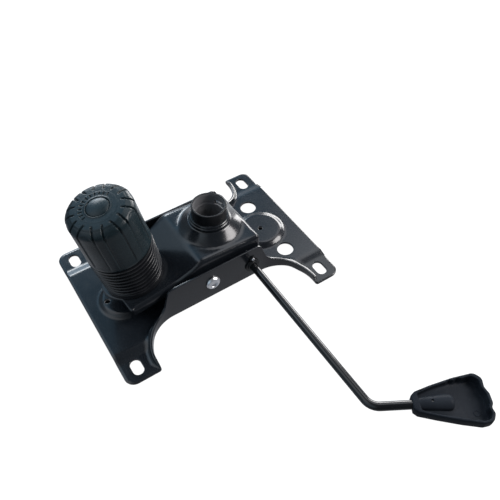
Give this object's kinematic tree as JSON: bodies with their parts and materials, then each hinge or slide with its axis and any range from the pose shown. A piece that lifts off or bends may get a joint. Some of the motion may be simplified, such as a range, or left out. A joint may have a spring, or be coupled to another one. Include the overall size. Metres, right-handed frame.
{
  "type": "office chair tilt mechanism",
  "caption": "Swivel-tilt mechanism for an office chair: slotted seat plate, tilting carrier with gas-lift socket, spring tension knob and bent release lever.",
  "frame": {"origin": "centre of the four seat slots, on the face that meets the seat", "axes": "+Z out of the seat face towards the gas-lift socket's mouth, +X across the plate towards the lever, +Y towards the rear (socket end); the part lies upside-down on its seat face, as in the picture"},
  "size_m": [0.3813, 0.2529, 0.1363],
  "materials": {
    "black_steel": "glossy black powder paint with a cold blue sheen",
    "black_rod": "gloss black paint on round bar",
    "zinc_steel": "bright zinc plate",
    "grey_plastic": "matt dark grey moulded plastic, fine grain",
    "black_plastic": "satin black moulded plastic",
    "black_rubber": "matt moulded rubber"
  },
  "bodies": {
    "seat": {"seat_plate": "black_steel", "pivot_pin": "zinc_steel", "anchor_bracket": "black_steel", "rest_stop_pads": "black_rubber", "tilt_stop_pads": "black_rubber", "lever_bush_near": "black_plastic", "lever_bush_far": "black_plastic", "bush_rivet": "zinc_steel"},
    "carrier": {"carrier_housing": "black_steel", "gas_lift_socket": "black_steel", "socket_collar": "black_steel", "socket_support": "black_steel", "pivot_tube": "black_steel", "pivot_bushes": "black_plastic", "spring_seat": "zinc_steel", "spring_sleeve": "black_plastic", "tension_spring": "zinc_steel"},
    "bolt": {"tension_bolt": "zinc_steel"},
    "spring_cap": {"upper_spring_cup": "zinc_steel", "thrust_washer": "black_plastic"},
    "knob": {"tension_knob": "grey_plastic", "knob_nut": "zinc_steel", "knob_cap": "grey_plastic"},
    "lock_slider": {"lock_plate": "zinc_steel", "lever_return_spring": "zinc_steel"},
    "lever": {"lever_rod": "black_rod", "lever_handle": "black_plastic", "release_tongue": "zinc_steel", "lever_ring": "zinc_steel"}
  },
  "joints": [
    {"name": "tilt", "type": "hinge", "parent": "seat", "child": "carrier", "pos_m": [0, -0.004, 0.0238], "axis": [-1, 0, 0], "range_deg": [0, 12], "stiffness_Nm_per_rad": 60, "springref_deg": -14.32},
    {"name": "bolt_slide", "type": "slide", "parent": "carrier", "child": "bolt", "axis": [0, -0.1461, 0.9893], "range_m": [-0.01236, 0], "deforming": ["tension_spring", "spring_sleeve"]},
    {"name": "cap_slide", "type": "slide", "parent": "bolt", "child": "spring_cap", "axis": [0, -0.1461, 0.9893], "range_m": [-0.006, 0]},
    {"name": "knob_turn", "type": "hinge", "parent": "spring_cap", "child": "knob", "pos_m": [0, -0.0651, 0.034], "axis": [0, 0.1461, -0.9893], "range_deg": [0, 1440]},
    {"name": "lock_slide", "type": "slide", "parent": "seat", "child": "lock_slider", "axis": [1, 0, 0], "range_m": [-0.01, 0]},
    {"name": "lever_lift", "type": "hinge", "parent": "lock_slider", "child": "lever", "pos_m": [0, 0.0412, 0.0199], "axis": [-1, 0, 0], "range_deg": [0, 7], "stiffness_Nm_per_rad": 0.4, "springref_deg": -11.46}
  ],
  "couplings": [
    {"joint": "tilt", "follows": "bolt_slide", "rad_per_m": -16.949},
    {"joint": "knob_turn", "follows": "cap_slide", "rad_per_m": -4188.8}
  ]
}
